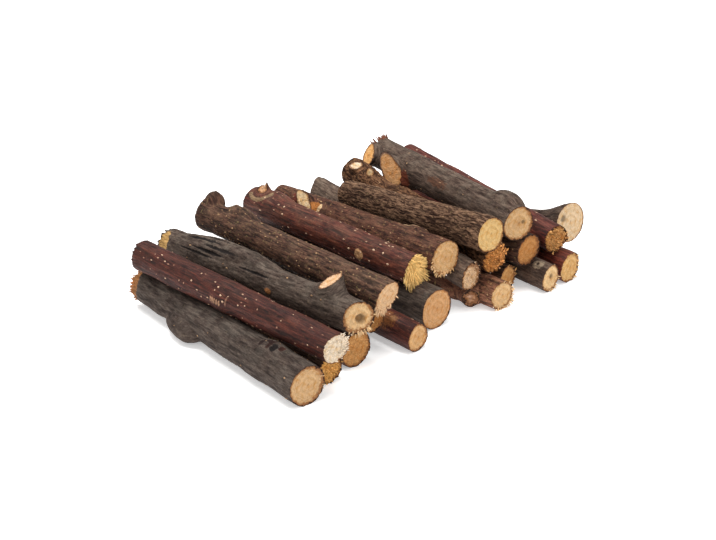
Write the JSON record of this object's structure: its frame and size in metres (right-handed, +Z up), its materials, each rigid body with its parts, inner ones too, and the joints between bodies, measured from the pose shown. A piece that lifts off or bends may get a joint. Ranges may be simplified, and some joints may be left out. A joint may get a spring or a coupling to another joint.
{
  "type": "bundle of twigs",
  "caption": "Bundle of short saw-cut twigs with bark, knobs and pruned stubs, lying side by side in a low loose pile.",
  "frame": {"origin": "bottom middle of the pile's box, on the surface that the pile lies on", "axes": "+X along the row of twigs, which is the pile's longest extent, away from the thick grey front twig; -Y the way the saw-cut ends that show best face; +Z up"},
  "size_m": [0.2224, 0.141, 0.0468],
  "materials": {
    "grey_bark": "dull grey-brown bark, finely wrinkled, pale saw-cut ends",
    "red_bark": "smooth dark red bark with pale pores, pale saw-cut ends",
    "brown_bark": "dull brown bark with tan pores, tan saw-cut ends",
    "ridged_bark": "rough ridged brown bark, yellow-tan saw-cut ends"
  },
  "bodies": {
    "root": {"thick_grey_twig_front": "grey_bark", "low_brown_twig_front": "brown_bark", "low_brown_twig_second": "brown_bark", "low_red_twig_middle": "red_bark", "low_grey_twig_middle": "grey_bark", "low_knobbed_twig": "brown_bark", "low_brown_twig_third": "brown_bark", "low_grey_twig_back": "grey_bark", "low_red_twig_back": "red_bark", "red_twig_front": "red_bark", "grey_twig_with_stub": "grey_bark", "tucked_brown_twig": "brown_bark", "smooth_grey_twig": "grey_bark", "red_twig_middle": "red_bark", "oval_cut_twig": "brown_bark", "crooked_twig_back": "grey_bark", "red_twig_back": "red_bark", "gnarled_twig": "ridged_bark", "brown_twig_with_stub": "brown_bark", "hooked_brown_twig": "brown_bark", "thick_grey_twig_top": "grey_bark", "ridged_twig_top": "ridged_bark"}
  },
  "joints": []
}
